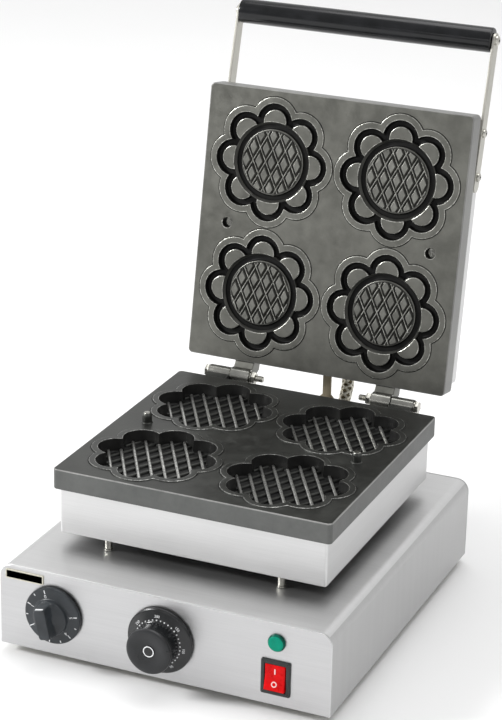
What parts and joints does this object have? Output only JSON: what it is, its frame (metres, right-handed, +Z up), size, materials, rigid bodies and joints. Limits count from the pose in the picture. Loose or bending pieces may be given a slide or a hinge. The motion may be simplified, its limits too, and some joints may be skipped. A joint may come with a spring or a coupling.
{
  "type": "flower waffle maker",
  "caption": "Countertop waffle maker: steel control box, lower heated plate with flower moulds on posts, hinged upper plate held open, bar handle, dial timer and thermostat.",
  "frame": {"origin": "bottom centre of the whole object's bounding box, with the lid open and the feet on the table", "axes": "+Z up, -Y towards the control panel, +Y to the lid hinge, +X to the user's right seen from the front"},
  "size_m": [0.294, 0.4502, 0.4712],
  "materials": {
    "stainless": "brushed stainless sheet",
    "zinc_steel": "zinc plated, satin",
    "rubber_feet": "moulded, matt",
    "badge": "blank plate, matt",
    "lower_iron": "cast, seasoned, fine grain",
    "lid_iron": "cast, satin, fine grain",
    "heater_sheath": "oxidised sheath",
    "insulation": "mineral fibre board",
    "conduit_braid": "woven wire braid",
    "gland_metal": "nickel plated",
    "grip_plastic": "phenolic, glossy",
    "timer_plastic": "moulded, satin",
    "thermostat_plastic": "moulded, glossy",
    "control_housing": "moulded, satin",
    "switch_housing": "moulded, semi-gloss",
    "rocker_red": "translucent moulded",
    "lamp_green": "clear moulded lens",
    "ceramic": "unglazed steatite",
    "brass": "drawn tube"
  },
  "bodies": {
    "base": {"base_shell": "stainless", "front_panel": "stainless", "rear_panel": "stainless", "bottom_plate": "zinc_steel", "foot_front_left": "rubber_feet", "foot_front_right": "rubber_feet", "foot_back_left": "rubber_feet", "foot_back_right": "rubber_feet", "foot_screw_front_left": "zinc_steel", "foot_screw_front_right": "zinc_steel", "foot_screw_back_left": "zinc_steel", "foot_screw_back_right": "zinc_steel", "post_front_left": "zinc_steel", "post_front_right": "zinc_steel", "post_back_left": "zinc_steel", "post_back_right": "zinc_steel", "name_badge": "badge", "lower_housing": "stainless", "lower_plate": "lower_iron", "guide_pin_left": "lower_iron", "guide_pin_right": "lower_iron", "lower_heater": "heater_sheath", "lower_clamp_plate": "zinc_steel", "hinge_bolt_left": "zinc_steel", "hinge_bolt_right": "zinc_steel", "hinge_nut_left": "zinc_steel", "hinge_nut_right": "zinc_steel", "lid_stop": "stainless", "conduit_lower_gland": "gland_metal", "braided_conduit": "conduit_braid", "timer_body": "control_housing", "thermostat_body": "ceramic", "thermostat_bulb": "brass", "switch_body": "switch_housing", "lamp_lens": "lamp_green", "lamp_body": "control_housing", "terminal_block": "ceramic", "cable_gland": "control_housing"},
    "lid": {"lid_plate": "lid_iron", "lid_cover": "stainless", "lid_heater": "heater_sheath", "lid_clamp_plate": "zinc_steel", "lid_insulation": "insulation", "handle_arm_left": "stainless", "handle_arm_right": "stainless", "arm_screw_front_left": "zinc_steel", "arm_screw_front_right": "zinc_steel", "arm_screw_back_left": "zinc_steel", "arm_screw_back_right": "zinc_steel", "grip_screw_left": "zinc_steel", "grip_screw_right": "zinc_steel", "handle_grip": "grip_plastic", "handle_rod": "zinc_steel", "conduit_upper_gland": "gland_metal"},
    "timer": {"timer_knob": "timer_plastic", "timer_shaft": "zinc_steel"},
    "thermostat": {"thermostat_knob": "thermostat_plastic", "thermostat_shaft": "zinc_steel"},
    "rocker": {"rocker": "rocker_red"}
  },
  "joints": [
    {"name": "lid_hinge", "type": "hinge", "parent": "base", "child": "lid", "pos_m": [0, 0.11034, 0.1495], "axis": [1, 0, 0], "range_deg": [0, 100], "deforming": ["braided_conduit"]},
    {"name": "timer_turn", "type": "hinge", "parent": "base", "child": "timer", "pos_m": [-0.097, -0.19966, 0.0445], "axis": [0, -1, 0], "range_deg": [-262.5, 0]},
    {"name": "thermostat_turn", "type": "hinge", "parent": "base", "child": "thermostat", "pos_m": [0, -0.19966, 0.044], "axis": [0, -1, 0], "range_deg": [-202, 50]},
    {"name": "rocker_tip", "type": "hinge", "parent": "base", "child": "rocker", "pos_m": [0.1003, -0.19716, 0.033], "axis": [1, 0, 0], "range_deg": [0, 14]}
  ]
}
